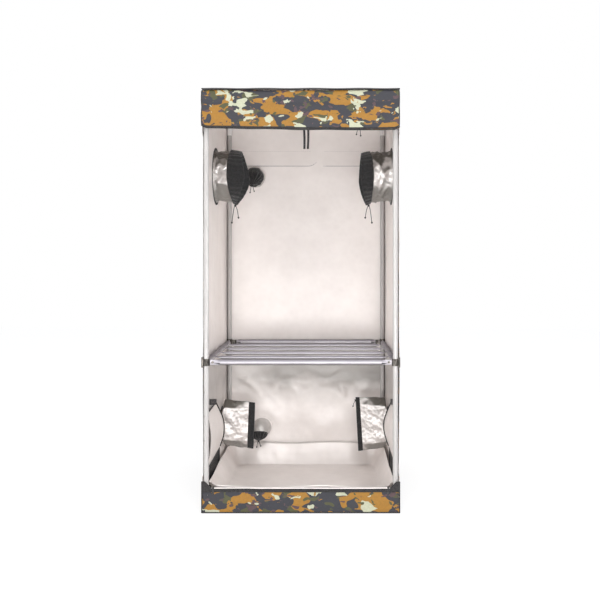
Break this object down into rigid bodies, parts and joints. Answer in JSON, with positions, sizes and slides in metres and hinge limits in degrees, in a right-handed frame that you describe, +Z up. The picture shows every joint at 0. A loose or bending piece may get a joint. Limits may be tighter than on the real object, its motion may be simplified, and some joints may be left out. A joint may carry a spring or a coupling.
{
  "type": "indoor grow tent",
  "caption": "Indoor grow tent: steel tube frame in a reflective camouflage cover with a rolled-up door, duct sleeves, side vents, spill tray and a height-adjustable slatted shelf.",
  "frame": {"origin": "centre of the base on the floor, midway between the four post axes", "axes": "+Z up, +Y from the open door towards the back wall, +X to the right as seen from the door"},
  "size_m": [0.84, 0.8816, 1.79],
  "materials": {
    "lower_post_front_left": "white powder coat, satin",
    "upper_post_front_left": "white powder coat, satin",
    "base_corner_front_left": "white moulded nylon, satin",
    "top_corner_front_left": "white moulded nylon, satin",
    "lower_post_front_right": "white powder coat, satin",
    "upper_post_front_right": "white powder coat, satin",
    "base_corner_front_right": "white moulded nylon, satin",
    "top_corner_front_right": "white moulded nylon, satin",
    "lower_post_rear_left": "white powder coat, satin",
    "upper_post_rear_left": "white powder coat, satin",
    "base_corner_rear_left": "white moulded nylon, satin",
    "top_corner_rear_left": "white moulded nylon, satin",
    "lower_post_rear_right": "white powder coat, satin",
    "upper_post_rear_right": "white powder coat, satin",
    "base_corner_rear_right": "white moulded nylon, satin",
    "top_corner_rear_right": "white moulded nylon, satin",
    "base_rail_front": "white powder coat, satin",
    "base_rail_rear": "white powder coat, satin",
    "base_rail_left": "white powder coat, satin",
    "base_rail_right": "white powder coat, satin",
    "top_rail_front": "white powder coat, satin",
    "top_rail_rear": "white powder coat, satin",
    "top_rail_left": "white powder coat, satin",
    "top_rail_right": "white powder coat, satin",
    "left_wall": "silver reflective film inside, camouflage-printed cloth outside",
    "right_wall": "silver reflective film inside, camouflage-printed cloth outside",
    "back_wall": "silver reflective film inside, camouflage-printed cloth outside",
    "roof_panel": "silver reflective film inside, camouflage-printed cloth outside",
    "floor_panel": "camouflage-printed oxford cloth, matt",
    "front_sill": "camouflage-printed oxford cloth, matt",
    "spill_tray": "silver reflective waterproof sheet, creased",
    "door_roll": "camouflage-printed oxford cloth, matt",
    "door_tie_straps": "black woven tape, matt",
    "duct_sleeve_left": "silver reflective film with a black knitted cuff",
    "duct_sleeve_right": "silver reflective film with a black knitted cuff",
    "intake_sleeve_left": "silver reflective film with a black knitted cuff",
    "intake_sleeve_right": "silver reflective film with a black knitted cuff",
    "cable_port_upper": "silver reflective film with a black knitted cuff",
    "cable_port_lower": "silver reflective film with a black knitted cuff",
    "roof_sleeve": "silver reflective film with a black knitted cuff",
    "drawcord_left": "black woven tape, matt",
    "drawcord_right": "black woven tape, matt",
    "post_clamp_front_left": "dark grey glass-filled nylon, satin",
    "post_clamp_front_right": "dark grey glass-filled nylon, satin",
    "post_clamp_rear_left": "dark grey glass-filled nylon, satin",
    "post_clamp_rear_right": "dark grey glass-filled nylon, satin",
    "shelf_rail_front": "pale grey enamel, semi-gloss",
    "shelf_rail_rear": "pale grey enamel, semi-gloss",
    "shelf_rail_left": "pale grey enamel, semi-gloss",
    "shelf_rail_right": "pale grey enamel, semi-gloss",
    "shelf_slat_1": "pale grey enamel, semi-gloss",
    "shelf_slat_2": "pale grey enamel, semi-gloss",
    "shelf_slat_3": "pale grey enamel, semi-gloss",
    "shelf_slat_4": "pale grey enamel, semi-gloss",
    "roof_bar_front": "white powder coat, satin",
    "roof_bar_rear": "white powder coat, satin",
    "vent_flap_left": "silver reflective film with a black knitted cuff",
    "vent_flap_right": "silver reflective film with a black knitted cuff",
    "zip_slider_left": "black moulded nylon, satin",
    "zip_slider_right": "black moulded nylon, satin"
  },
  "bodies": {
    "frame_and_cover": {"lower_post_front_left": "lower_post_front_left", "upper_post_front_left": "upper_post_front_left", "base_corner_front_left": "base_corner_front_left", "top_corner_front_left": "top_corner_front_left", "lower_post_front_right": "lower_post_front_right", "upper_post_front_right": "upper_post_front_right", "base_corner_front_right": "base_corner_front_right", "top_corner_front_right": "top_corner_front_right", "lower_post_rear_left": "lower_post_rear_left", "upper_post_rear_left": "upper_post_rear_left", "base_corner_rear_left": "base_corner_rear_left", "top_corner_rear_left": "top_corner_rear_left", "lower_post_rear_right": "lower_post_rear_right", "upper_post_rear_right": "upper_post_rear_right", "base_corner_rear_right": "base_corner_rear_right", "top_corner_rear_right": "top_corner_rear_right", "base_rail_front": "base_rail_front", "base_rail_rear": "base_rail_rear", "base_rail_left": "base_rail_left", "base_rail_right": "base_rail_right", "top_rail_front": "top_rail_front", "top_rail_rear": "top_rail_rear", "top_rail_left": "top_rail_left", "top_rail_right": "top_rail_right", "left_wall": "left_wall", "right_wall": "right_wall", "back_wall": "back_wall", "roof_panel": "roof_panel", "floor_panel": "floor_panel", "front_sill": "front_sill", "spill_tray": "spill_tray", "door_roll": "door_roll", "door_tie_straps": "door_tie_straps", "duct_sleeve_left": "duct_sleeve_left", "duct_sleeve_right": "duct_sleeve_right", "intake_sleeve_left": "intake_sleeve_left", "intake_sleeve_right": "intake_sleeve_right", "cable_port_upper": "cable_port_upper", "cable_port_lower": "cable_port_lower", "roof_sleeve": "roof_sleeve", "drawcord_left": "drawcord_left", "drawcord_right": "drawcord_right"},
    "shelf": {"post_clamp_front_left": "post_clamp_front_left", "post_clamp_front_right": "post_clamp_front_right", "post_clamp_rear_left": "post_clamp_rear_left", "post_clamp_rear_right": "post_clamp_rear_right", "shelf_rail_front": "shelf_rail_front", "shelf_rail_rear": "shelf_rail_rear", "shelf_rail_left": "shelf_rail_left", "shelf_rail_right": "shelf_rail_right"},
    "shelf_slat_1": {"shelf_slat_1": "shelf_slat_1"},
    "shelf_slat_2": {"shelf_slat_2": "shelf_slat_2"},
    "shelf_slat_3": {"shelf_slat_3": "shelf_slat_3"},
    "shelf_slat_4": {"shelf_slat_4": "shelf_slat_4"},
    "roof_bar_front": {"roof_bar_front": "roof_bar_front"},
    "roof_bar_rear": {"roof_bar_rear": "roof_bar_rear"},
    "vent_flap_left": {"vent_flap_left": "vent_flap_left"},
    "vent_flap_right": {"vent_flap_right": "vent_flap_right"},
    "zip_slider_left": {"zip_slider_left": "zip_slider_left"},
    "zip_slider_right": {"zip_slider_right": "zip_slider_right"}
  },
  "joints": [
    {"name": "shelf_height", "type": "slide", "parent": "frame_and_cover", "child": "shelf", "axis": [0, 0, 1], "range_m": [-0.17, 0.54]},
    {"name": "slat_1_slide", "type": "slide", "parent": "shelf", "child": "shelf_slat_1", "axis": [0, 1, 0], "range_m": [-0.085, 0.065]},
    {"name": "slat_2_slide", "type": "slide", "parent": "shelf", "child": "shelf_slat_2", "axis": [0, 1, 0], "range_m": [-0.065, 0.065]},
    {"name": "slat_3_slide", "type": "slide", "parent": "shelf", "child": "shelf_slat_3", "axis": [0, 1, 0], "range_m": [-0.065, 0.065]},
    {"name": "slat_4_slide", "type": "slide", "parent": "shelf", "child": "shelf_slat_4", "axis": [0, 1, 0], "range_m": [-0.065, 0.085]},
    {"name": "roof_bar_front_slide", "type": "slide", "parent": "frame_and_cover", "child": "roof_bar_front", "axis": [0, 1, 0], "range_m": [-0.16, 0.055]},
    {"name": "roof_bar_rear_slide", "type": "slide", "parent": "frame_and_cover", "child": "roof_bar_rear", "axis": [0, 1, 0], "range_m": [-0.055, 0.16]},
    {"name": "vent_flap_left_hinge", "type": "hinge", "parent": "frame_and_cover", "child": "vent_flap_left", "pos_m": [-0.413, -0.075, 0.156], "axis": [0, 1, 0], "range_deg": [0, 115]},
    {"name": "vent_flap_right_hinge", "type": "hinge", "parent": "frame_and_cover", "child": "vent_flap_right", "pos_m": [0.413, -0.075, 0.156], "axis": [0, -1, 0], "range_deg": [0, 115]},
    {"name": "zip_slider_left_run", "type": "slide", "parent": "frame_and_cover", "child": "zip_slider_left", "axis": [1, 0, 0], "range_m": [0, 0.36]},
    {"name": "zip_slider_right_run", "type": "slide", "parent": "frame_and_cover", "child": "zip_slider_right", "axis": [-1, 0, 0], "range_m": [0, 0.36]}
  ]
}
